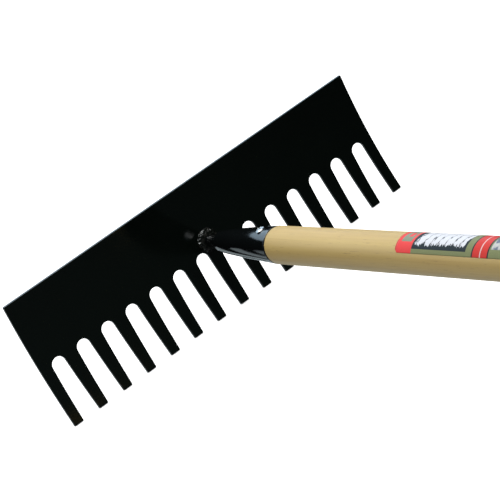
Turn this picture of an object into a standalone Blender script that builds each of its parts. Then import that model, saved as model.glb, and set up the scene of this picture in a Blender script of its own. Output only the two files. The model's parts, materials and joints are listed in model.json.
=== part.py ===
"""Levelling rake: a bowed steel comb plate, welded to a tapered socket on a long wooden handle.

Lengths are in metres. The rake lies as it is set down: the tooth tips and the handle's butt touch Z = 0,
the teeth point down, the plate's width runs along X and the handle runs away from the plate along -Y.

Two frames are used. The tool frame has its origin midway between the tooth tips, X along the plate's
width, Z up along the plate's chord and Y pointing away from the handle. The handle frame starts where
the handle's axis meets the plate: Z runs along the handle towards the butt, and Y is the handle's top.
"""

import math

import bmesh
import bpy
from mathutils import Vector

MM = 0.001
GAP = 0.3 * MM  # clearance between neighbouring pieces
MERGE = 0.01 * MM

# Comb plate
PLATE_WIDTH = 400 * MM
PLATE_HEIGHT = 124.5 * MM  # along the bowed sheet, tips to top edge
PLATE_THICKNESS = 3 * MM
PLATE_BOW_RADIUS = 388.5 * MM  # centre of curvature on the handle's side
PLATE_BOW_STEPS = 12
TEETH = 15
TIP_WIDTH = 9.6 * MM
SLOT_DEPTH = 60.2 * MM
SLOT_ROOT_RADIUS = 7 * MM
SLOT_ROOT_STEPS = 14
TOOTH_PITCH = (PLATE_WIDTH - TIP_WIDTH) / (TEETH - 1)

# Handle axis
AXIS_HEIGHT = 66.6 * MM  # above the tooth tips, along the chord
AXIS_TILT = math.radians(3.8)  # the handle drops this much from square to the chord

# Socket: a solid neck that flares into a hollow cone
NECK_RADIUS = 5.2 * MM
NECK_END = 24 * MM
SHOULDER_RADIUS = 9.7 * MM
SHOULDER_START = 30.5 * MM
MOUTH = 129.2 * MM
MOUTH_RADIUS = 16.5 * MM
CONE_EXPONENT = 0.75  # below 1 the cone bulges slightly
CONE_STEPS = 14
SOCKET_WALL = 1.6 * MM
BORE_BOTTOM = 46 * MM

# Weld bead round the neck's foot
BEAD_RADIUS = 11.5 * MM
BEAD_HEIGHT = 7 * MM
BEAD_CREST_RADIUS = 6.4 * MM
BEAD_STEPS = 6

# Wooden handle
HANDLE_RADIUS = 16.5 * MM
HANDLE_STOCK = 1212 * MM  # tang included
TANG_TIP = BORE_BOTTOM + 4 * MM
SHOULDER_ROUND = 2 * MM
BUTT_ROUND = 4 * MM
ROUND_STEPS = 5
BUTT = TANG_TIP + HANDLE_STOCK

# Screw through the top of the socket into the tang
SCREW_STATION = 112.5 * MM
SCREW_TURN = math.radians(8)  # off the top, driven in by eye
SCREW_SHANK_RADIUS = 1.9 * MM
SCREW_SHANK_LENGTH = 20 * MM
SCREW_HEAD_RADIUS = 4.3 * MM
SCREW_HEAD_HEIGHT = 1.4 * MM
SCREW_HEAD_STEPS = 5

# Film label, wrapped over the top of the handle
LABEL_START = 327.5 * MM
LABEL_LENGTH = 220 * MM
LABEL_HALF_ANGLE = math.radians(55.5)
LABEL_THICKNESS = 0.25 * MM
LABEL_STEPS = 20

ROUND_SIDES = 64
SMALL_SIDES = 24


def clear_scene():
    for old in list(bpy.data.objects):
        bpy.data.objects.remove(old, do_unlink=True)


def new_collection(name):
    made = bpy.data.collections.new(name)
    bpy.context.scene.collection.children.link(made)
    return made


def new_empty(name, parent, location, rotation):
    empty = bpy.data.objects.new(name, None)
    parts.objects.link(empty)
    empty.parent = parent
    empty.location = location
    empty.rotation_euler = rotation
    return empty


def new_material(name, colour, roughness, metallic):
    material = bpy.data.materials.new(name)
    material.use_nodes = True
    shader = material.node_tree.nodes["Principled BSDF"]
    shader.inputs["Base Color"].default_value = (*colour, 1)
    shader.inputs["Roughness"].default_value = roughness
    shader.inputs["Metallic"].default_value = metallic
    return material


def new_piece(name, mesh, parent, material):
    piece = bpy.data.objects.new(name, mesh)
    parts.objects.link(piece)
    piece.parent = parent
    mesh.materials.append(material)
    return piece


def new_cutter(name, mesh, parent):
    cutter = bpy.data.objects.new(name, mesh)
    cutters.objects.link(cutter)
    cutter.parent = parent
    cutter.hide_render = True
    cutter.display_type = "WIRE"
    return cutter


def cut(piece, cutter):
    boolean = piece.modifiers.new("cut_" + cutter.name, "BOOLEAN")
    boolean.operation = "DIFFERENCE"
    boolean.solver = "EXACT"
    boolean.object = cutter


def mesh_from(name, build):
    """A mesh filled by build(bmesh), with its faces turned outwards."""
    shape = bmesh.new()
    build(shape)
    bmesh.ops.recalc_face_normals(shape, faces=shape.faces)
    mesh = bpy.data.meshes.new(name)
    shape.to_mesh(mesh)
    shape.free()
    return mesh


def smooth(mesh, sharp_angle=math.radians(35)):
    mesh.shade_smooth()
    mesh.set_sharp_from_angle(angle=sharp_angle)


def turned_mesh(name, profile, sides):
    """A solid of revolution about Z. The profile of (radius, z) ends on the axis, or is a closed loop."""

    def build(shape):
        points = [shape.verts.new((radius, 0, z)) for radius, z in profile]
        edges = [shape.edges.new(pair) for pair in zip(points, points[1:])]
        bmesh.ops.spin(
            shape,
            geom=points + edges,
            cent=(0, 0, 0),
            axis=(0, 0, 1),
            angle=math.tau,
            steps=sides,
            use_merge=True,
        )
        bmesh.ops.remove_doubles(shape, verts=shape.verts, dist=MERGE)

    mesh = mesh_from(name, build)
    smooth(mesh)
    return mesh


def quarter_round(centre_radius, centre_z, size, first, last):
    """Points of an arc about (centre_radius, centre_z), its angles measured from the radial direction."""
    angles = [first + (last - first) * step / ROUND_STEPS for step in range(ROUND_STEPS + 1)]
    return [(centre_radius + size * math.cos(a), centre_z + size * math.sin(a)) for a in angles]


# ---- comb plate -------------------------------------------------------------------------------------

BOW_HALF_ANGLE = PLATE_HEIGHT / (2 * PLATE_BOW_RADIUS)


def bow_point(along_sheet):
    """(y, z) on the sheet's middle surface, at a distance above the tips measured along the sheet."""
    angle = along_sheet / PLATE_BOW_RADIUS - BOW_HALF_ANGLE
    y = PLATE_BOW_RADIUS * (math.cos(angle) - 1)
    z = PLATE_BOW_RADIUS * (math.sin(angle) + math.sin(BOW_HALF_ANGLE))
    return y, z


def bowed_sheet_mesh(name, width):
    """The sheet's middle surface, as an open strip."""

    def build(shape):
        rows = []
        for step in range(PLATE_BOW_STEPS + 1):
            y, z = bow_point(PLATE_HEIGHT * step / PLATE_BOW_STEPS)
            rows.append([shape.verts.new((side * width / 2, y, z)) for side in (-1, 1)])
        for low, high in zip(rows, rows[1:]):
            shape.faces.new((low[0], low[1], high[1], high[0]))

    return mesh_from(name, build)


def thicken(piece, thickness, offset):
    solidify = piece.modifiers.new("thickness", "SOLIDIFY")
    solidify.thickness = thickness
    solidify.offset = offset
    solidify.use_even_offset = True


def slot_outline(centre_x):
    """The gap between two teeth: a round root, and sides that run straight from it to the tips."""
    root_height = SLOT_DEPTH - SLOT_ROOT_RADIUS
    mouth_half = (TOOTH_PITCH - TIP_WIDTH) / 2
    to_mouth = math.hypot(mouth_half, root_height)
    tangent = math.acos(SLOT_ROOT_RADIUS / to_mouth) - math.atan2(root_height, mouth_half)
    overrun = 0.2  # the cutter carries on below the tips, by this share of the slot's depth
    flare = math.tan(tangent) * overrun * SLOT_DEPTH
    low = -overrun * SLOT_DEPTH
    outline = [(centre_x + mouth_half + flare, low)]
    for step in range(SLOT_ROOT_STEPS + 1):
        angle = tangent + (math.pi - 2 * tangent) * step / SLOT_ROOT_STEPS
        height = root_height + SLOT_ROOT_RADIUS * math.sin(angle)
        outline.append((centre_x + SLOT_ROOT_RADIUS * math.cos(angle), bow_point(height)[1]))
    outline.append((centre_x - mouth_half - flare, low))
    return outline


def slot_cutter_mesh():
    """All the gaps between the teeth, as prisms through the plate."""
    reach = 3 * (PLATE_BOW_RADIUS * (1 - math.cos(BOW_HALF_ANGLE)) + PLATE_THICKNESS)

    def build(shape):
        for slot in range(TEETH - 1):
            centre_x = (slot - (TEETH - 2) / 2) * TOOTH_PITCH
            ring = [shape.verts.new((x, -reach, z)) for x, z in slot_outline(centre_x)]
            face = shape.faces.new(ring)
            swept = bmesh.ops.extrude_face_region(shape, geom=[face])["geom"]
            moved = [item for item in swept if isinstance(item, bmesh.types.BMVert)]
            bmesh.ops.translate(shape, verts=moved, vec=(0, 2 * reach, 0))

    return mesh_from("slot_cutter", build)


def add_rake_head(tool):
    black = new_material("black_enamel", (0.006, 0.008, 0.007), 0.12, 0.0)
    plate = new_piece("rake_head", bowed_sheet_mesh("rake_head", PLATE_WIDTH), tool, black)
    thicken(plate, PLATE_THICKNESS, 0)
    cut(plate, new_cutter("slot_cutter", slot_cutter_mesh(), tool))


# ---- socket, weld and screw -------------------------------------------------------------------------


def cone_radius(station):
    """Outer radius of the hollow cone at a distance from the plate along the handle's axis."""
    share = (station - SHOULDER_START) / (MOUTH - SHOULDER_START)
    return SHOULDER_RADIUS + (MOUTH_RADIUS - SHOULDER_RADIUS) * share**CONE_EXPONENT


def stations(first, last, steps):
    return [first + (last - first) * step / steps for step in range(steps + 1)]


def socket_profile():
    bore = [(cone_radius(z) - SOCKET_WALL, z) for z in stations(BORE_BOTTOM, MOUTH, CONE_STEPS)]
    cone = [(cone_radius(z), z) for z in stations(MOUTH, SHOULDER_START, CONE_STEPS)]
    flare = [(SHOULDER_RADIUS - 0.8 * MM, SHOULDER_START - 1.2 * MM), (NECK_RADIUS, NECK_END)]
    return [(0, BORE_BOTTOM)] + bore + cone + flare + [(NECK_RADIUS, 0), (0, 0)]


def bead_profile():
    """A convex fillet ring round the neck, open in the middle for it."""
    bore_radius = NECK_RADIUS + GAP
    arc = []
    for step in range(BEAD_STEPS + 1):
        angle = math.pi / 2 * (1 - step / BEAD_STEPS)
        radius = BEAD_CREST_RADIUS + (BEAD_RADIUS - BEAD_CREST_RADIUS) * math.cos(angle)
        arc.append((radius, BEAD_HEIGHT * math.sin(angle)))
    return [(bore_radius, 0), (bore_radius, BEAD_HEIGHT)] + arc + [(bore_radius, 0)]


def add_socket(handle_axis, plate_clearance, screw_cutter):
    black = new_material("black_socket", (0.006, 0.008, 0.008), 0.1, 0.0)
    socket = new_piece("socket", turned_mesh("socket", socket_profile(), ROUND_SIDES), handle_axis, black)
    cut(socket, plate_clearance)
    cut(socket, screw_cutter)


def add_weld_bead(handle_axis, plate_clearance):
    rough_black = new_material("weld_black", (0.012, 0.012, 0.011), 0.3, 0.2)
    bead = new_piece("weld_bead", turned_mesh("weld_bead", bead_profile(), SMALL_SIDES), handle_axis, rough_black)
    cut(bead, plate_clearance)


def screw_profile():
    """A dome-headed screw, its head's underside at z = 0 and its shank below."""
    dome = []
    for step in range(SCREW_HEAD_STEPS + 1):
        angle = math.pi / 2 * (1 - step / SCREW_HEAD_STEPS)
        dome.append((SCREW_HEAD_RADIUS * math.cos(angle), SCREW_HEAD_HEIGHT * math.sin(angle)))
    point = 1.5 * SCREW_SHANK_RADIUS
    shank = [
        (SCREW_SHANK_RADIUS, 0),
        (SCREW_SHANK_RADIUS, point - SCREW_SHANK_LENGTH),
        (0, -SCREW_SHANK_LENGTH),
    ]
    return [(0, SCREW_HEAD_HEIGHT)] + dome[1:] + shank


def screw_seat():
    """Where the head's underside sits: just clear of the cone under the head's higher edge."""
    return cone_radius(SCREW_STATION + SCREW_HEAD_RADIUS) + GAP


def screw_hole_mesh():
    """The screw's clearance hole, through the socket's wall and down into the tang."""
    radius = SCREW_SHANK_RADIUS + GAP
    bottom = -SCREW_SHANK_LENGTH - GAP
    top = 3 * SCREW_HEAD_HEIGHT
    return turned_mesh("screw_hole", [(0, top), (radius, top), (radius, bottom), (0, bottom)], SMALL_SIDES)


def place_across_axis(piece):
    """Turns a piece's Z outwards, near the handle's top, and seats it on the cone."""
    seat = screw_seat()
    piece.rotation_euler = (-math.pi / 2, 0, SCREW_TURN)
    piece.location = (-seat * math.sin(SCREW_TURN), seat * math.cos(SCREW_TURN), SCREW_STATION)


def add_fixing_screw(handle_axis):
    steel = new_material("screw_steel", (0.5, 0.5, 0.5), 0.25, 1.0)
    screw = new_piece("fixing_screw", turned_mesh("fixing_screw", screw_profile(), SMALL_SIDES), handle_axis, steel)
    place_across_axis(screw)


# ---- handle and label -------------------------------------------------------------------------------


def handle_profile():
    """Butt end first, then down the pole and round its shoulder to the tang's tip."""
    quarter = math.pi / 2
    butt = quarter_round(HANDLE_RADIUS - BUTT_ROUND, BUTT - BUTT_ROUND, BUTT_ROUND, quarter, 0)
    shoulder_z = MOUTH + GAP
    shoulder = quarter_round(
        HANDLE_RADIUS - SHOULDER_ROUND, shoulder_z + SHOULDER_ROUND, SHOULDER_ROUND, 0, -quarter
    )
    slack = SOCKET_WALL + GAP
    tang = [(cone_radius(z) - slack, z) for z in stations(MOUTH, TANG_TIP, CONE_STEPS)]
    root = (tang[0][0], shoulder_z)
    return [(0, BUTT)] + butt + shoulder + [root] + tang[1:] + [(0, TANG_TIP)]


def add_handle(handle_axis, screw_cutter):
    ash = new_material("varnished_wood", (0.56, 0.42, 0.22), 0.35, 0.0)
    handle = new_piece("handle", turned_mesh("handle", handle_profile(), ROUND_SIDES), handle_axis, ash)
    cut(handle, screw_cutter)


def add_label(handle_axis):
    """A thin film wrapped over the handle's top, its edges short of half way round."""
    film = new_material("label_film", (0.5, 0.05, 0.05), 0.3, 0.0)
    radius = HANDLE_RADIUS + GAP

    def build(shape):
        rows = []
        for angle in stations(-LABEL_HALF_ANGLE, LABEL_HALF_ANGLE, LABEL_STEPS):
            x = radius * math.sin(angle)
            y = radius * math.cos(angle)
            rows.append([shape.verts.new((x, y, z)) for z in (LABEL_START, LABEL_START + LABEL_LENGTH)])
        for one, other in zip(rows, rows[1:]):
            shape.faces.new((one[0], one[1], other[1], other[0]))

    mesh = mesh_from("label", build)
    smooth(mesh)
    label = new_piece("label", mesh, handle_axis, film)
    outward = mesh.polygons[0].normal.dot(mesh.polygons[0].center) > 0
    thicken(label, LABEL_THICKNESS, 1 if outward else -1)


# ---- assembly ---------------------------------------------------------------------------------------


def resting_lean():
    """The turn about X that sets the tooth tips and the butt on one level."""
    tip_y = PLATE_BOW_RADIUS * (math.cos(BOW_HALF_ANGLE) - 1) + PLATE_THICKNESS / 2 * math.cos(BOW_HALF_ANGLE)
    tip_z = -PLATE_THICKNESS / 2 * math.sin(BOW_HALF_ANGLE)
    along = BUTT - BUTT_ROUND
    below = HANDLE_RADIUS - BUTT_ROUND
    butt_y = -along * math.cos(AXIS_TILT) + below * math.sin(AXIS_TILT)
    butt_z = AXIS_HEIGHT - along * math.sin(AXIS_TILT) - below * math.cos(AXIS_TILT)
    run = tip_y - butt_y
    rise = butt_z - tip_z
    return math.atan2(rise, run) - math.asin(BUTT_ROUND / math.hypot(run, rise))


def centre_over_origin(tool):
    """Moves the whole rake so that its box stands on Z = 0, centred on the origin."""
    bpy.context.view_layer.update()
    graph = bpy.context.evaluated_depsgraph_get()
    corners = []
    for piece in parts.objects:
        if piece.type == "MESH":
            shown = piece.evaluated_get(graph)
            corners += [shown.matrix_world @ vert.co for vert in shown.data.vertices]
    low = Vector([min(corner[axis] for corner in corners) for axis in range(3)])
    high = Vector([max(corner[axis] for corner in corners) for axis in range(3)])
    tool.location -= Vector(((low.x + high.x) / 2, (low.y + high.y) / 2, low.z))


clear_scene()
parts = new_collection("levelling_rake")
cutters = new_collection("cutters")

tool_frame = new_empty("tool_frame", None, (0, 0, 0), (resting_lean(), 0, 0))
handle_frame = new_empty("handle_frame", tool_frame, (0, 0, AXIS_HEIGHT), (math.pi / 2 + AXIS_TILT, 0, 0))

clearance = new_cutter("plate_clearance", bowed_sheet_mesh("plate_clearance", 6 * BEAD_RADIUS), tool_frame)
thicken(clearance, PLATE_THICKNESS + 2 * GAP, 0)
screw_hole = new_cutter("screw_hole", screw_hole_mesh(), handle_frame)
place_across_axis(screw_hole)

add_rake_head(tool_frame)
add_socket(handle_frame, clearance, screw_hole)
add_weld_bead(handle_frame, clearance)
add_fixing_screw(handle_frame)
add_handle(handle_frame, screw_hole)
add_label(handle_frame)
centre_over_origin(tool_frame)
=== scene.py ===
"""The levelling rake's looks: enamelled plate and socket, lumpy weld, varnished pole, printed label."""

import json
import math

import bmesh
import bpy
from mathutils import Matrix, Vector, noise


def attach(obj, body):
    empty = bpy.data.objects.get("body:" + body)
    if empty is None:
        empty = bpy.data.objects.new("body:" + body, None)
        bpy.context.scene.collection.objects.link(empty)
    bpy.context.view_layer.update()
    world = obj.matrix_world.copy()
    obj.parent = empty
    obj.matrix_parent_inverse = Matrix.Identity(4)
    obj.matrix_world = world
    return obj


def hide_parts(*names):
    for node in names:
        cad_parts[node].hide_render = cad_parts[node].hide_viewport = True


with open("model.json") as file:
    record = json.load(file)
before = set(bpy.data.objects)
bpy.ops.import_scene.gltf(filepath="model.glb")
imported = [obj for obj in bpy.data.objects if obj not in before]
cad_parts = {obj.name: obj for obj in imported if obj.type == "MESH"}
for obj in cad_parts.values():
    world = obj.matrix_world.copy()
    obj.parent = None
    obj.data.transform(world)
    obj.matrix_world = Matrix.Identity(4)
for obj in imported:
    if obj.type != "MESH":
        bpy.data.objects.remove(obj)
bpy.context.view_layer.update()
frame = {"record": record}

MM = 0.001

# Comb plate, as in the CAD
PLATE_WIDTH = 400 * MM
PLATE_HEIGHT = 124.5 * MM
PLATE_THICKNESS = 3 * MM
PLATE_BOW_RADIUS = 388.5 * MM
BOW_HALF_ANGLE = PLATE_HEIGHT / (2 * PLATE_BOW_RADIUS)
TEETH = 15
TIP_WIDTH = 9.6 * MM
TOOTH_PITCH = (PLATE_WIDTH - TIP_WIDTH) / (TEETH - 1)
SLOT_DEPTH = 60.2 * MM
SLOT_ROOT_RADIUS = 7 * MM
SLOT_ROOT_STEPS = 24
TIP_ROUND = 0.8 * MM
EDGE_ROUND = 0.45 * MM
BOW_ROWS = 40
WAVE_COLUMNS = 40
PLATE_WAVE = 0.12 * MM  # pressed sheet is never quite flat
AXIS_HEIGHT = 66.6 * MM  # of the handle's axis above the tips
AXIS_TILT = math.radians(3.8)

# Socket, as in the CAD: stations are distances from the plate along the handle's axis
NECK_RADIUS = 5.2 * MM
NECK_END = 24 * MM
SHOULDER_RADIUS = 9.7 * MM
SHOULDER_START = 30.5 * MM
MOUTH = 129.2 * MM
MOUTH_RADIUS = 16.5 * MM
CONE_EXPONENT = 0.75
SOCKET_WALL = 1.6 * MM
SHOULDER_CURVE = 2.6 * MM
LIP_ROUND = 0.5 * MM

# Weld
BEAD_RADIUS = 11.3 * MM
BEAD_HEIGHT = 6.5 * MM
BEAD_FOOT = 1.5 * MM
BEAD_BITE = 0.2 * MM  # how far its top reaches into the neck
BEAD_SINK = 1.2 * MM  # how far its foot goes below BEAD_FOOT, towards the plate
RIPPLES = 7
RIPPLE_HEIGHT = 0.35 * MM
LUMP_HEIGHT = 1.1 * MM
GRAIN_HEIGHT = 0.55 * MM
BEAD_SIDES = 160
BEAD_ROWS = 44

# Pole, label and screw
HANDLE_RADIUS = 16.5 * MM
BUTT = 1262 * MM
SHOULDER_ROUND = 2 * MM
BUTT_ROUND = 4 * MM
TANG_DEPTH = 30 * MM
TANG_TAPER = 1.3 * MM
LABEL_START = 327.5 * MM
LABEL_LENGTH = 220 * MM
LABEL_HALF_ANGLE = math.radians(55.5)
LABEL_LIFT = 0.06 * MM
LABEL_THICKNESS = 0.08 * MM
LABEL_CORNER = 3 * MM
LABEL_ROWS = 60
LABEL_COLUMNS = 90
SCREW_STATION = 112.5 * MM
SCREW_TURN = math.radians(8)  # off the handle's top
SCREW_HEAD_RADIUS = 4.3 * MM
SCREW_HEAD_HEIGHT = 1.4 * MM
SCREW_SHANK_RADIUS = 1.9 * MM
SCREW_STUB = 3 * MM  # the part of the shank that is modelled
RECESS_HALF_WIDTH = 0.55 * MM
RECESS_REACH = 2.3 * MM
RECESS_DEPTH = 1.2 * MM  # in the middle, rising to nothing at RECESS_RUN_OUT
RECESS_RUN_OUT = 2.6 * MM
GAP = 0.3 * MM
TRIM = 0.02 * MM  # what the tips and the butt give up, so that rounding keeps them inside the CAD's box


# Label print: distances from the label's near end, or round the pole from its top
NEAR_RED = (-1 * MM, 21.3 * MM)
PANEL = (21.3 * MM, 90 * MM)
PANEL_LOW = 12.3 * MM
BAND = (97.6 * MM, 118 * MM)
BAND_RED = (99.1 * MM, 116.5 * MM)
BAND_LINE = (107.5 * MM, 108.7 * MM)
PICTURE = (119.5 * MM, 196 * MM)
PICTURE_LOW = 9.4 * MM
FAR_RED_START = 198 * MM
DAB_WIDTH = 4.6 * MM
DAB_SLANT = 0.3
DAB_WOBBLE = 1.8 * MM
DABS_ALONG = (26 * MM, 88.5 * MM)
DABS_ROUND = (-13 * MM, 8.4 * MM)
BADGE_ALONG = (5 * MM, 18 * MM)
BADGE_ROUND = (-8.5 * MM, 6.5 * MM)
BADGE_HOLE_ALONG = (10 * MM, 15 * MM)
BADGE_HOLE_ROUND = (-4 * MM, 1.5 * MM)

# Label inks, as linear colours
RED = (0.68, 0.045, 0.042)
DEEP_RED = (0.52, 0.024, 0.014)
PINK = (0.6, 0.45, 0.45)
GREEN = (0.145, 0.165, 0.062)
PALE_GREEN = (0.19, 0.205, 0.092)
GREY_GREEN = (0.19, 0.22, 0.15)
BLACK = (0.003, 0.005, 0.006)
WHITE = (0.60, 0.62, 0.67)
PICTURE_SKY = (0.44, 0.45, 0.44)
PICTURE_CLOUD = (0.10, 0.13, 0.19)

# Camera, in the row frame
CAMERA_LENS = 143.05
CAMERA_PLACE = (-0.7062, -0.9722, 0.5063)
CAMERA_RIGHT = (0.74135, -0.47978, -0.46928)
CAMERA_UP = (0.53545, 0.00127, 0.84457)


# ---- where the CAD's two frames are ------------------------------------------------------------------


def mount(name):
    return next(entry for entry in frame["record"]["mounts"] if entry["name"] == name)


def bow_point(along_sheet, offset=0.0):
    """(y, z) in the tool frame, this far above the tips along the sheet. The offset is towards its back."""
    angle = along_sheet / PLATE_BOW_RADIUS - BOW_HALF_ANGLE
    radius = PLATE_BOW_RADIUS + offset
    y = radius * math.cos(angle) - PLATE_BOW_RADIUS
    z = radius * math.sin(angle) + PLATE_BOW_RADIUS * math.sin(BOW_HALF_ANGLE)
    return y, z


def find_handle_frame():
    """Z runs along the handle towards its butt, Y is its top, and the origin is on the plate."""
    butt = mount("butt_end")
    z_axis = Vector(butt["axis"]).normalized()
    x_axis = Vector((1, 0, 0))
    y_axis = z_axis.cross(x_axis)
    matrix = Matrix((x_axis, y_axis, z_axis)).transposed().to_4x4()
    matrix.translation = Vector(butt["pos_m"]) - z_axis * BUTT
    return matrix


def find_tool_frame():
    """X runs along the plate's width, Z up its chord, and the origin is midway between the tips."""
    axis = handle_frame.col[2]
    slope = math.atan2(-axis.z, -axis.y)
    matrix = Matrix.Rotation(slope - AXIS_TILT, 4, "X")
    matrix.translation = handle_frame.translation - matrix.to_3x3() @ Vector((0, 0, AXIS_HEIGHT))
    return matrix


handle_frame = find_handle_frame()
tool_frame = find_tool_frame()


# ---- building blocks ---------------------------------------------------------------------------------


def new_piece(name, mesh, matrix, material, nodes):
    """A piece, brought into the row frame, that stands for CAD nodes and rides on the rake's one body."""
    mesh.transform(matrix)
    piece = bpy.data.objects.new(name, mesh)
    bpy.context.scene.collection.objects.link(piece)
    mesh.materials.append(material)
    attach(piece, "root")
    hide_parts(*nodes)
    return piece


def smooth(mesh, sharp_angle=math.radians(40)):
    mesh.shade_smooth()
    mesh.set_sharp_from_angle(angle=sharp_angle)


def turned_mesh(name, profile, sides):
    """A solid of revolution about Z. The profile of (radius, z) ends on the axis, or is a closed loop."""
    shape = bmesh.new()
    points = [shape.verts.new((radius, 0, z)) for radius, z in profile]
    edges = [shape.edges.new(pair) for pair in zip(points, points[1:])]
    bmesh.ops.spin(
        shape,
        geom=points + edges,
        cent=(0, 0, 0),
        axis=(0, 0, 1),
        angle=math.tau,
        steps=sides,
        use_merge=True,
    )
    bmesh.ops.remove_doubles(shape, verts=shape.verts, dist=0.005 * MM)
    bmesh.ops.recalc_face_normals(shape, faces=shape.faces)
    mesh = bpy.data.meshes.new(name)
    shape.to_mesh(mesh)
    shape.free()
    smooth(mesh)
    return mesh


def between(first, last, steps):
    return [first + (last - first) * step / steps for step in range(steps + 1)]


def arc(radius_at, z_at, size, first, last, steps=6):
    """Points of an arc about (radius_at, z_at), with angles in degrees from the radial direction."""
    angles = [math.radians(angle) for angle in between(first, last, steps)]
    return [(radius_at + size * math.cos(a), z_at + size * math.sin(a)) for a in angles]


def resample(profile, spacing):
    """Adds points along a profile's straight runs, so that a turned piece has even faces."""
    dense = [profile[0]]
    for (r0, z0), (r1, z1) in zip(profile, profile[1:]):
        pieces = max(1, round(math.hypot(r1 - r0, z1 - z0) / spacing))
        dense += [(r0 + (r1 - r0) * k / pieces, z0 + (z1 - z0) * k / pieces) for k in range(1, pieces + 1)]
    return dense


RANGE_SOCKETS = ("From Min", "From Max", "To Min", "To Max")


class Shader:
    """A material's node tree, with one short call for each kind of node it uses."""

    def __init__(self, name, local_frame=Matrix.Identity(4)):
        """Patterns are laid out in local_frame, such as the handle's, given in the row frame."""
        self.material = bpy.data.materials.new(name)
        self.material.use_nodes = True
        self.tree = self.material.node_tree
        self.surface = self.tree.nodes["Principled BSDF"]
        into_frame = self.tree.nodes.new("ShaderNodeMapping")
        into_frame.vector_type = "TEXTURE"
        into_frame.inputs["Location"].default_value = local_frame.translation
        into_frame.inputs["Rotation"].default_value = local_frame.to_euler()
        row_place = self.tree.nodes.new("ShaderNodeTexCoord").outputs["Object"]
        self.tree.links.new(row_place, into_frame.inputs["Vector"])
        self.place = into_frame.outputs["Vector"]

    def constants(self, **values):
        """Values that are the same all over, set on the shader's own sockets."""
        for name, value in values.items():
            self.surface.inputs[name.replace("_", " ")].default_value = value

    def put(self, socket, value):
        if isinstance(value, bpy.types.NodeSocket):
            self.tree.links.new(value, socket)
        else:
            socket.default_value = value

    def scaled(self, x, y, z, source=None):
        """Coordinates multiplied by (x, y, z): per metre in, feature count out."""
        node = self.tree.nodes.new("ShaderNodeVectorMath")
        node.operation = "MULTIPLY"
        self.put(node.inputs[0], source or self.place)
        node.inputs[1].default_value = (x, y, z)
        return node.outputs[0]

    def noise(self, where, detail=3.0, roughness=0.5, distortion=0.0):
        node = self.tree.nodes.new("ShaderNodeTexNoise")
        node.inputs["Scale"].default_value = 1
        node.inputs["Detail"].default_value = detail
        node.inputs["Roughness"].default_value = roughness
        node.inputs["Distortion"].default_value = distortion
        self.put(node.inputs["Vector"], where)
        return node.outputs["Fac"]

    def cells(self, where):
        node = self.tree.nodes.new("ShaderNodeTexVoronoi")
        node.inputs["Scale"].default_value = 1
        self.put(node.inputs["Vector"], where)
        return node.outputs["Distance"]

    def maths(self, operation, one, other=0.0):
        node = self.tree.nodes.new("ShaderNodeMath")
        node.operation = operation
        self.put(node.inputs[0], one)
        self.put(node.inputs[1], other)
        return node.outputs[0]

    def fit(self, value, low, high, new_low=0.0, new_high=1.0):
        """Maps low..high to new_low..new_high and holds the ends."""
        node = self.tree.nodes.new("ShaderNodeMapRange")
        self.put(node.inputs["Value"], value)
        for socket, number in zip(RANGE_SOCKETS, (low, high, new_low, new_high)):
            node.inputs[socket].default_value = number
        return node.outputs["Result"]

    def blend(self, one, other, share):
        """Colour one where share is 0, colour other where it is 1."""
        node = self.tree.nodes.new("ShaderNodeMix")
        node.data_type = "RGBA"
        self.put(node.inputs["Factor"], share)
        sockets = [socket for socket in node.inputs if socket.type == "RGBA"]
        for socket, colour in zip(sockets, (one, other)):
            self.put(socket, colour if isinstance(colour, bpy.types.NodeSocket) else (*colour, 1))
        return next(socket for socket in node.outputs if socket.type == "RGBA")

    def bump(self, height, depth, strength=1.0):
        """Chains a bump of this depth in metres under what is already on the surface."""
        node = self.tree.nodes.new("ShaderNodeBump")
        node.inputs["Strength"].default_value = strength
        node.inputs["Distance"].default_value = depth
        self.put(node.inputs["Height"], height)
        before = self.surface.inputs["Normal"].links
        if before:
            self.tree.links.new(before[0].from_socket, node.inputs["Normal"])
        self.tree.links.new(node.outputs["Normal"], self.surface.inputs["Normal"])

    def colour(self, value):
        self.put(self.surface.inputs["Base Color"], value)

    def rough(self, value):
        self.put(self.surface.inputs["Roughness"], value)


# ---- comb plate --------------------------------------------------------------------------------------


def comb_outline():
    """The flat sheet's outline as (x, height) points, anticlockwise from the first tooth's tip."""
    mouth_half = (TOOTH_PITCH - TIP_WIDTH) / 2
    root_height = SLOT_DEPTH - SLOT_ROOT_RADIUS
    reach = math.hypot(mouth_half, root_height)
    tangent = math.degrees(math.acos(SLOT_ROOT_RADIUS / reach) - math.atan2(root_height, mouth_half))
    outline = [(-PLATE_WIDTH / 2, TRIM)]
    for slot in range(TEETH - 1):
        centre = (slot - (TEETH - 2) / 2) * TOOTH_PITCH
        outline.append((centre - mouth_half, TRIM))
        outline += arc(centre, root_height, SLOT_ROOT_RADIUS, 180 - tangent, tangent, SLOT_ROOT_STEPS)
        outline.append((centre + mouth_half, TRIM))
    outline += [(PLATE_WIDTH / 2, TRIM), (PLATE_WIDTH / 2, PLATE_HEIGHT), (-PLATE_WIDTH / 2, PLATE_HEIGHT)]
    return outline


def round_corners(shape):
    """Rounds the sheet's corners at the tips and the top, seen from the front."""
    ends = (TRIM, PLATE_HEIGHT)
    through = [
        edge
        for edge in shape.edges
        if abs(edge.verts[0].co.y - edge.verts[1].co.y) > PLATE_THICKNESS / 2
        and min(abs(edge.verts[0].co.z - end) for end in ends) < TIP_ROUND / 10
    ]
    bmesh.ops.bevel(shape, geom=through, offset=TIP_ROUND, segments=3, profile=0.5, affect="EDGES")


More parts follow.
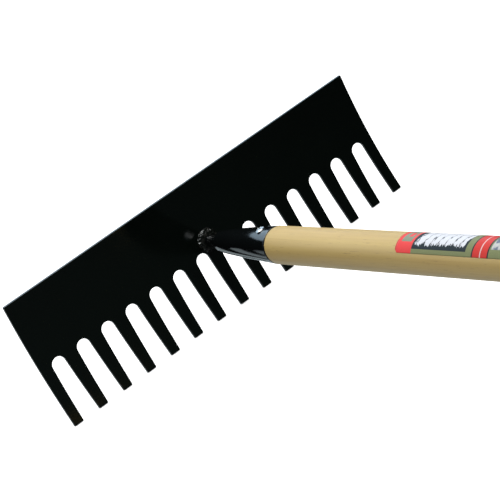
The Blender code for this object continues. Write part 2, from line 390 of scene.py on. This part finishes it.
def round_rims(shape):
    """Rounds the edges all round both faces, as the enamel does on sheared steel."""
    rims = []
    for edge in shape.edges:
        flat = abs(edge.verts[0].co.y - edge.verts[1].co.y) < EDGE_ROUND / 10
        if flat and len(edge.link_faces) == 2 and edge.calc_face_angle() > math.radians(60):
            rims.append(edge)
    bmesh.ops.bevel(shape, geom=rims, offset=EDGE_ROUND, segments=3, profile=0.5, affect="EDGES")


def slice_at(shape, place, normal):
    whole = shape.verts[:] + shape.edges[:] + shape.faces[:]
    bmesh.ops.bisect_plane(shape, geom=whole, plane_co=place, plane_no=normal)


def slice_for_bow(shape):
    for height in between(0, PLATE_HEIGHT, BOW_ROWS)[1:-1]:
        slice_at(shape, (0, 0, height), (0, 0, 1))


def slice_for_waves(shape):
    """Cuts the blade above the slots into columns too, so that it can wave along its width."""
    for x in between(-PLATE_WIDTH / 2, PLATE_WIDTH / 2, WAVE_COLUMNS)[1:-1]:
        slice_at(shape, (x, 0, 0), (1, 0, 0))


def plate_wave(x, height):
    """A slow swell of the sheet, in metres and never outwards past its true surface."""
    swell = noise.noise(Vector((x * 9, height * 14, 3.7)))
    return PLATE_WAVE * (swell - 1) / 2


def comb_mesh():
    shape = bmesh.new()
    front = [shape.verts.new((x, -PLATE_THICKNESS / 2, height)) for x, height in comb_outline()]
    face = shape.faces.new(front)
    swept = bmesh.ops.extrude_face_region(shape, geom=[face])["geom"]
    back = [item for item in swept if isinstance(item, bmesh.types.BMVert)]
    bmesh.ops.translate(shape, verts=back, vec=(0, PLATE_THICKNESS, 0))
    bmesh.ops.recalc_face_normals(shape, faces=shape.faces)
    round_corners(shape)
    round_rims(shape)
    slice_for_bow(shape)
    slice_for_waves(shape)
    for vert in shape.verts:
        x, through, height = vert.co
        vert.co.y, vert.co.z = bow_point(height, through + plate_wave(x, height))
    mesh = bpy.data.meshes.new("comb_plate")
    shape.to_mesh(mesh)
    shape.free()
    smooth(mesh, math.radians(50))
    return mesh


def plate_enamel():
    """Deep gloss black, a little orange peel, faint handling scuffs."""
    s = Shader("plate_enamel", tool_frame)
    s.constants(Metallic=0.0, IOR=1.5, Specular_IOR_Level=0.5)
    cloud = s.noise(s.scaled(14, 14, 14), detail=4)
    s.colour(s.blend((0.0012, 0.0026, 0.0016), (0.0020, 0.0038, 0.0028), cloud))
    scuffs = s.fit(s.noise(s.scaled(60, 60, 900), detail=5, distortion=0.4), 0.58, 0.72)
    smear = s.fit(s.noise(s.scaled(22, 22, 22), detail=3), 0.35, 0.7, 0.07, 0.16)
    s.rough(s.maths("ADD", smear, s.maths("MULTIPLY", scuffs, 0.07)))
    s.bump(s.noise(s.scaled(420, 420, 420), detail=2), 0.03 * MM)
    s.bump(s.noise(s.scaled(60, 60, 60), detail=2), 0.05 * MM)
    return s.material


def add_comb_plate():
    plate = new_piece("comb_plate", comb_mesh(), tool_frame, plate_enamel(), ["rake_head"])
    weighted = plate.modifiers.new("face_normals", "WEIGHTED_NORMAL")
    weighted.keep_sharp = True
    weighted.weight = 80


# ---- weld, socket and screw --------------------------------------------------------------------------


def cone_radius(station):
    share = (station - SHOULDER_START) / (MOUTH - SHOULDER_START)
    return SHOULDER_RADIUS + (MOUTH_RADIUS - SHOULDER_RADIUS) * max(share, 0) ** CONE_EXPONENT


def bead_lumps(turn, rise):
    """Height of the weld's ripples and spatter, in metres: turn is the angle round it, rise 0 to 1."""
    waves = abs(math.sin(turn * RIPPLES + 1.3 * math.sin(turn * 2)))
    ripple = RIPPLE_HEIGHT * waves * math.sin(math.pi * rise)
    place = Vector((math.cos(turn) * 1.6, math.sin(turn) * 1.6, rise * 1.4))
    lumps = LUMP_HEIGHT * noise.noise(place * 1.7)
    grain = GRAIN_HEIGHT * noise.noise(place * 6.5)
    return ripple + (lumps + grain) * math.sin(math.pi * min(1, 0.15 + rise))


def bead_mesh():
    """A hand-laid fillet ring round the neck: convex, rippled and a little lopsided."""
    shape = bmesh.new()
    rows = []
    for row in range(BEAD_ROWS + 1):
        rise = row / BEAD_ROWS
        angle = math.pi / 2 * rise
        ring = []
        for side in range(BEAD_SIDES):
            turn = math.tau * side / BEAD_SIDES
            lump = bead_lumps(turn, rise) if 0 < row < BEAD_ROWS else 0
            out, up = math.cos(angle), math.sin(angle)
            radius = NECK_RADIUS - BEAD_BITE + (BEAD_RADIUS - NECK_RADIUS) * out + lump * out
            height = BEAD_FOOT - BEAD_SINK + (BEAD_HEIGHT - BEAD_FOOT) * up + lump * up
            ring.append(shape.verts.new((radius * math.cos(turn), radius * math.sin(turn), height)))
        rows.append(ring)
    for low, high in zip(rows, rows[1:]):
        for k in range(BEAD_SIDES):
            after = (k + 1) % BEAD_SIDES
            shape.faces.new((low[k], low[after], high[after], high[k]))
    shape.faces.new(rows[0])
    shape.faces.new(rows[-1])
    bmesh.ops.recalc_face_normals(shape, faces=shape.faces)
    mesh = bpy.data.meshes.new("fillet_weld")
    shape.to_mesh(mesh)
    shape.free()
    smooth(mesh, math.radians(75))
    return mesh


def weld_enamel():
    s = Shader("weld_enamel", handle_frame)
    s.constants(Metallic=0.0, IOR=1.5)
    patch = s.noise(s.scaled(260, 260, 260), detail=4)
    s.colour(s.blend((0.003, 0.004, 0.003), (0.02, 0.019, 0.016), s.fit(patch, 0.5, 0.75)))
    s.rough(s.fit(s.noise(s.scaled(500, 500, 500)), 0.3, 0.7, 0.1, 0.32))
    s.bump(s.cells(s.scaled(700, 700, 700)), 0.25 * MM, 0.8)
    s.bump(s.noise(s.scaled(1500, 1500, 1500), detail=3), 0.08 * MM)
    return s.material


def add_weld():
    new_piece("fillet_weld", bead_mesh(), handle_frame, weld_enamel(), ["weld_bead"])


def socket_profile():
    """Inside the mouth, over the rounded lip, down the cone, round the shoulder and along the neck."""
    inner = [(cone_radius(z) - SOCKET_WALL, z) for z in between(MOUTH - TANG_DEPTH, MOUTH - LIP_ROUND, 6)]
    lip = arc(MOUTH_RADIUS - LIP_ROUND, MOUTH - LIP_ROUND, LIP_ROUND, 90, 0, 5)
    cone = [(cone_radius(z), z) for z in between(MOUTH - 2 * LIP_ROUND, SHOULDER_START + 1 * MM, 60)]
    centre = cone_radius(SHOULDER_START + 1 * MM) - SHOULDER_CURVE
    shoulder = arc(centre, SHOULDER_START, SHOULDER_CURVE, 0, -50, 8)
    throat = [(NECK_RADIUS + 0.9 * MM, NECK_END + 0.7 * MM), (NECK_RADIUS + 0.25 * MM, NECK_END - 0.8 * MM)]
    neck = [(NECK_RADIUS, NECK_END - 2.5 * MM), (NECK_RADIUS, 2 * MM), (0, 2 * MM)]
    return [(0, MOUTH - TANG_DEPTH)] + inner + lip + cone + shoulder + throat + neck


def socket_enamel():
    """The same black, dipped thicker: wetter gloss and slow runs along the socket."""
    s = Shader("socket_enamel", handle_frame)
    s.constants(Metallic=0.0, IOR=1.5, Specular_IOR_Level=0.6)
    cloud = s.noise(s.scaled(40, 40, 12), detail=4)
    s.colour(s.blend((0.0016, 0.0022, 0.0024), (0.0034, 0.0042, 0.0046), cloud))
    s.rough(s.fit(s.noise(s.scaled(90, 90, 30), detail=4), 0.3, 0.75, 0.05, 0.13))
    s.bump(s.noise(s.scaled(150, 150, 22), detail=2), 0.08 * MM)
    s.bump(s.noise(s.scaled(700, 700, 700), detail=2), 0.02 * MM)
    return s.material


def add_socket():
    mesh = turned_mesh("drawn_socket", socket_profile(), 160)
    new_piece("drawn_socket", mesh, handle_frame, socket_enamel(), ["socket"])


def screw_steel():
    s = Shader("screw_steel", handle_frame)
    s.constants(Metallic=1.0)
    s.colour(s.blend((0.36, 0.37, 0.38), (0.54, 0.54, 0.53), s.noise(s.scaled(900, 900, 900), detail=3)))
    s.rough(s.fit(s.noise(s.scaled(500, 2500, 500), detail=4), 0.3, 0.7, 0.16, 0.38))
    s.bump(s.noise(s.scaled(2000, 2000, 2000)), 0.02 * MM)
    return s.material


def cross_recess(shape):
    """Sinks the faces near a cross on top of the head, as a driver's recess."""
    for vert in shape.verts:
        x, y, z = vert.co
        if z <= SCREW_HEAD_HEIGHT * 0.2:
            continue
        arm = min(abs(x), abs(y))
        out = max(abs(x), abs(y))
        if arm < RECESS_HALF_WIDTH and out < RECESS_REACH:
            vert.co.z = z - RECESS_DEPTH * (1 - out / RECESS_RUN_OUT)


def screw_mesh():
    dome = []
    for angle in between(90, 0, 24):
        turn = math.radians(angle)
        dome.append((SCREW_HEAD_RADIUS * math.cos(turn), SCREW_HEAD_HEIGHT * math.sin(turn)))
    stub = [(SCREW_SHANK_RADIUS, 0), (SCREW_SHANK_RADIUS, -SCREW_STUB), (0, -SCREW_STUB)]
    profile = resample([(0, SCREW_HEAD_HEIGHT)] + dome[1:] + stub, 0.15 * MM)
    mesh = turned_mesh("dome_screw", profile, 96)
    shape = bmesh.new()
    shape.from_mesh(mesh)
    cross_recess(shape)
    shape.to_mesh(mesh)
    shape.free()
    smooth(mesh, math.radians(50))
    return mesh


def add_screw():
    seat = cone_radius(SCREW_STATION + SCREW_HEAD_RADIUS) + GAP
    turned = Matrix.Rotation(SCREW_TURN, 4, "Z")
    outwards = Matrix.Translation((0, seat, SCREW_STATION)) @ Matrix.Rotation(-math.pi / 2, 4, "X")
    screw_frame = handle_frame @ turned @ outwards
    new_piece("dome_screw", screw_mesh(), screw_frame, screw_steel(), ["fixing_screw"])


# ---- pole and label ----------------------------------------------------------------------------------


def pole_profile():
    butt = arc(HANDLE_RADIUS - BUTT_ROUND, BUTT - TRIM - BUTT_ROUND, BUTT_ROUND, 90, 0, 12)
    start = MOUTH + GAP / 2
    shoulder = arc(HANDLE_RADIUS - SHOULDER_ROUND, start + SHOULDER_ROUND, SHOULDER_ROUND, 0, -90, 8)
    tang_radius = MOUTH_RADIUS - SOCKET_WALL - GAP
    tang_tip = MOUTH - TANG_DEPTH + 2 * MM
    tang = [(tang_radius, start), (tang_radius - TANG_TAPER, tang_tip), (0, tang_tip)]
    return resample([(0, BUTT - TRIM)] + butt + shoulder + tang, 8 * MM)


def pole_wood():
    """Pale straight-grained hardwood: long fibres, growth bands, short pores, thin satin varnish."""
    s = Shader("pole_wood", handle_frame)
    s.constants(Metallic=0.0, IOR=1.5, Specular_IOR_Level=0.42, Coat_Weight=0.15, Coat_Roughness=0.35)
    drift = s.noise(s.scaled(30, 30, 2.2), detail=3, distortion=0.6)
    bands = s.noise(s.scaled(190, 95, 2.6), detail=4, roughness=0.55, distortion=0.5)
    fibres = s.noise(s.scaled(900, 900, 9), detail=4, roughness=0.6)
    pores = s.fit(s.noise(s.scaled(1500, 1500, 75), detail=2), 0.66, 0.72)
    base = s.blend((0.485, 0.345, 0.115), (0.42, 0.283, 0.09), s.fit(bands, 0.35, 0.68))
    base = s.blend(base, (0.535, 0.39, 0.157), s.maths("MULTIPLY", s.fit(drift, 0.45, 0.75), 0.55))
    base = s.blend(base, (0.345, 0.228, 0.073), s.maths("MULTIPLY", s.fit(fibres, 0.55, 0.8), 0.5))
    base = s.blend(base, (0.19, 0.118, 0.04), s.maths("MULTIPLY", pores, 0.55))
    s.colour(base)
    s.rough(s.fit(fibres, 0.3, 0.75, 0.4, 0.55))
    s.bump(fibres, 0.05 * MM, 0.6)
    s.bump(pores, -0.05 * MM, 0.5)
    return s.material


def add_pole():
    mesh = turned_mesh("pole", pole_profile(), 144)
    new_piece("pole", mesh, handle_frame, pole_wood(), ["handle"])


def label_mesh():
    """A closed film, its coordinates (distance along, distance round) kept in a UV map in metres."""
    shape = bmesh.new()
    half_width = LABEL_HALF_ANGLE * HANDLE_RADIUS
    uv = shape.loops.layers.uv.new("print")
    grid = []
    for along in between(0, LABEL_LENGTH, LABEL_COLUMNS):
        from_end = min(along, LABEL_LENGTH - along)
        narrowing = 0
        if from_end < LABEL_CORNER:
            narrowing = LABEL_CORNER - math.sqrt(LABEL_CORNER**2 - (LABEL_CORNER - from_end) ** 2)
        line = []
        for around in between(narrowing - half_width, half_width - narrowing, LABEL_ROWS):
            angle = around / HANDLE_RADIUS
            radius = HANDLE_RADIUS + LABEL_LIFT
            point = (-radius * math.sin(angle), radius * math.cos(angle), LABEL_START + along)
            line.append((shape.verts.new(point), along, around))
        grid.append(line)
    for one, other in zip(grid, grid[1:]):
        for k in range(LABEL_ROWS):
            corners = (one[k], one[k + 1], other[k + 1], other[k])
            face = shape.faces.new([entry[0] for entry in corners])
            for loop, entry in zip(face.loops, corners):
                loop[uv].uv = (entry[1], entry[2])
    mesh = bpy.data.meshes.new("printed_label")
    shape.to_mesh(mesh)
    shape.free()
    smooth(mesh)
    return mesh


def label_print():
    """Colour blocks and plain brush dabs. u runs along the pole from the label's near end, v round it."""
    s = Shader("label_print")
    s.constants(Metallic=0.0, IOR=1.45, Specular_IOR_Level=0.14, Coat_Weight=0.05, Coat_Roughness=0.3)
    uv = s.tree.nodes.new("ShaderNodeUVMap")
    uv.uv_map = "print"
    split = s.tree.nodes.new("ShaderNodeSeparateXYZ")
    s.tree.links.new(uv.outputs[0], split.inputs[0])
    u, v = split.outputs["X"], split.outputs["Y"]
    grain = s.noise(s.scaled(900, 900, 900, uv.outputs[0]), detail=2)

    def over(value, edge, soft=0.15 * MM):
        return s.fit(value, edge - soft, edge + soft)

    def within(value, low, high):
        return s.maths("MULTIPLY", over(value, low), s.maths("SUBTRACT", 1.0, over(value, high)))

    def both(one, other):
        return s.maths("MULTIPLY", one, other)

    def outside(one):
        return s.maths("SUBTRACT", 1.0, one)

    clouds = s.fit(s.noise(s.scaled(110, 110, 1, uv.outputs[0]), detail=5), 0.44, 0.54)
    picture = s.blend(PICTURE_SKY, PICTURE_CLOUD, clouds)
    ink = s.blend(GREEN, PALE_GREEN, grain)
    ink = s.blend(ink, RED, within(u, *NEAR_RED))
    ink = s.blend(ink, BLACK, both(within(u, *PANEL), outside(over(v, PANEL_LOW))))
    ink = s.blend(ink, BLACK, within(u, *BAND))
    ink = s.blend(ink, DEEP_RED, within(u, *BAND_RED))
    ink = s.blend(ink, PINK, within(u, *BAND_LINE))
    ink = s.blend(ink, picture, both(within(u, *PICTURE), outside(over(v, PICTURE_LOW))))
    ink = s.blend(ink, RED, over(u, FAR_RED_START))
    uneven = s.noise(s.scaled(420, 160, 1, uv.outputs[0]), detail=3)
    wobble = s.fit(uneven, 0.3, 0.7, -DAB_WOBBLE, DAB_WOBBLE)
    slanted = s.maths("ADD", s.maths("ADD", u, s.maths("MULTIPLY", v, DAB_SLANT)), wobble)
    stroke = s.maths("PINGPONG", slanted, DAB_WIDTH)
    bristles = s.noise(s.scaled(520, 30, 1, uv.outputs[0]), detail=2)
    frayed = s.maths("ADD", v, s.fit(bristles, 0.3, 0.7, -2.2 * MM, 2.6 * MM))
    swash = both(within(slanted, *DABS_ALONG), within(frayed, *DABS_ROUND))
    ink = s.blend(ink, WHITE, both(over(stroke, 0.45 * MM, 0.35 * MM), swash))
    badge = both(within(u, *BADGE_ALONG), within(v, *BADGE_ROUND))
    badge_middle = both(within(u, *BADGE_HOLE_ALONG), within(v, *BADGE_HOLE_ROUND))
    ink = s.blend(ink, GREY_GREEN, both(badge, outside(badge_middle)))
    s.colour(ink)
    s.rough(s.fit(grain, 0.3, 0.7, 0.3, 0.42))
    s.bump(grain, 0.02 * MM, 0.5)
    return s.material


def add_label():
    label = new_piece("printed_label", label_mesh(), handle_frame, label_print(), ["label"])
    film = label.modifiers.new("film", "SOLIDIFY")
    film.thickness = LABEL_THICKNESS
    film.offset = 1


# ---- studio ------------------------------------------------------------------------------------------


def add_floor():
    bpy.ops.mesh.primitive_plane_add(size=40)
    floor = bpy.context.object
    floor.name = "floor"
    s = Shader("floor_paper")
    s.constants(Specular_IOR_Level=0.0, Emission_Strength=0.4)
    s.put(s.surface.inputs["Emission Color"], (1, 1, 1, 1))
    s.colour(s.blend((0.90, 0.90, 0.90), (0.93, 0.93, 0.93), s.noise(s.scaled(1.5, 1.5, 1.5))))
    s.rough(0.9)
    floor.data.materials.append(s.material)
    floor.visible_glossy = False
    floor.visible_diffuse = False


def add_softbox(name, place, aim, width, height, power):
    data = bpy.data.lights.new(name, "AREA")
    data.shape = "RECTANGLE"
    data.size = width
    data.size_y = height
    data.energy = power
    lamp = bpy.data.objects.new(name, data)
    bpy.context.scene.collection.objects.link(lamp)
    lamp.location = place
    lamp.rotation_euler = (Vector(aim) - Vector(place)).to_track_quat("-Z", "Y").to_euler()


def add_lights():
    head = handle_frame.translation
    add_softbox("overhead", head + Vector((0.3, -0.5, 2.2)), head, 1.3, 1.6, 31)


class Sky:
    """The world's shader, in one short call for each kind of node it uses."""

    def __init__(self):
        self.world = bpy.data.worlds.new("studio")
        bpy.context.scene.world = self.world
        self.world.use_nodes = True
        self.tree = self.world.node_tree
        split = self.node("ShaderNodeSeparateXYZ")
        self.tree.links.new(self.node("ShaderNodeTexCoord").outputs["Generated"], split.inputs[0])
        self.x, self.y, self.z = split.outputs

    def node(self, kind):
        return self.tree.nodes.new(kind)

    def over(self, value, edge, soft, low=0.0, high=1.0):
        """Rises from low to high across an edge of half-width soft."""
        node = self.node("ShaderNodeMapRange")
        node.interpolation_type = "SMOOTHSTEP"
        self.tree.links.new(value, node.inputs["Value"])
        ends = (edge - soft, edge + soft, low, high)
        for socket, number in zip(RANGE_SOCKETS, ends):
            node.inputs[socket].default_value = number
        return node.outputs["Result"]

    def under(self, value, edge, soft):
        return self.over(value, edge, soft, 1.0, 0.0)

    def all_of(self, *masks):
        product = masks[0]
        for mask in masks[1:]:
            node = self.node("ShaderNodeMath")
            node.operation = "MULTIPLY"
            for socket, value in zip(node.inputs, (product, mask)):
                if isinstance(value, bpy.types.NodeSocket):
                    self.tree.links.new(value, socket)
                else:
                    socket.default_value = value
            product = node.outputs[0]
        return product

    def emit(self, colour, strength):
        node = self.node("ShaderNodeBackground")
        node.inputs["Color"].default_value = (*colour, 1)
        if isinstance(strength, bpy.types.NodeSocket):
            self.tree.links.new(strength, node.inputs["Strength"])
        else:
            node.inputs["Strength"].default_value = strength
        return node.outputs[0]

    def added(self, *shaders):
        total = shaders[0]
        for shader in shaders[1:]:
            node = self.node("ShaderNodeAddShader")
            self.tree.links.new(total, node.inputs[0])
            self.tree.links.new(shader, node.inputs[1])
            total = node.outputs[0]
        return total

    def chosen(self, share, one, other):
        node = self.node("ShaderNodeMixShader")
        for socket, value in zip(node.inputs, (share, one, other)):
            self.tree.links.new(value, socket)
        return node.outputs[0]


def add_world():
    """Diffuse light is white: strong from above, weak from the sides, bounced from below. Gloss sees a lit
    backdrop beyond the head, brighter higher up, a small window overhead, and a nearly dark room on the
    handle's side. The camera sees plain white."""
    sky = Sky()
    white = (1, 1, 1)
    fill = sky.added(
        sky.emit(white, 0.2),
        sky.emit(white, sky.over(sky.z, 0.3, 0.35, 0.0, 0.85)),
        sky.emit(white, sky.over(sky.z, -0.5, 0.35, 1.05, 0.0)),
    )
    beyond = sky.over(sky.y, 0.15, 0.15)
    overhead = sky.over(sky.z, 0.84, 0.05)
    window = sky.all_of(sky.under(sky.x, 0.05, 0.1), sky.under(sky.y, 0.35, 0.1), overhead)
    side = sky.all_of(sky.under(sky.y, 0.0, 0.4), sky.under(sky.x, 0.38, 0.12))
    below = sky.under(sky.z, -0.08, 0.08)
    above = sky.over(sky.z, 0.22, 0.16)
    gloss = sky.added(
        sky.emit((0.8, 0.95, 1.0), 0.015),  # the dark room
        sky.emit((0.8, 1.0, 1.0), sky.all_of(side, 0.05)),  # its wall behind the camera
        sky.emit((0.95, 1.0, 1.0), sky.all_of(window, 12.0)),
        sky.emit((0.85, 1.0, 1.05), sky.all_of(beyond, below, 0.6)),
        sky.emit((0.72, 0.95, 1.15), sky.all_of(beyond, above, 1.6)),
    )
    path = sky.node("ShaderNodeLightPath")
    lit = sky.chosen(path.outputs["Is Glossy Ray"], fill, gloss)
    seen = sky.chosen(path.outputs["Is Camera Ray"], lit, sky.emit(white, 1.0))
    sky.tree.links.new(seen, sky.tree.nodes["World Output"].inputs["Surface"])


def add_camera():
    """Above and to the left of the handle, rolled so that the plate runs up to the right."""
    data = bpy.data.cameras.new("camera")
    data.sensor_width = 36
    data.lens = CAMERA_LENS
    camera = bpy.data.objects.new("camera", data)
    bpy.context.scene.collection.objects.link(camera)
    right = Vector(CAMERA_RIGHT).normalized()
    up = Vector(CAMERA_UP).normalized()
    back = right.cross(up).normalized()
    matrix = Matrix((right, back.cross(right), back)).transposed().to_4x4()
    matrix.translation = Vector(CAMERA_PLACE)
    camera.matrix_world = matrix
    bpy.context.scene.camera = camera


def set_view():
    bpy.context.scene.view_settings.view_transform = "Standard"
    bpy.context.scene.view_settings.look = "None"


add_camera()
set_view()
add_world()
add_lights()
add_floor()
add_comb_plate()
add_weld()
add_socket()
add_screw()
add_pole()
add_label()
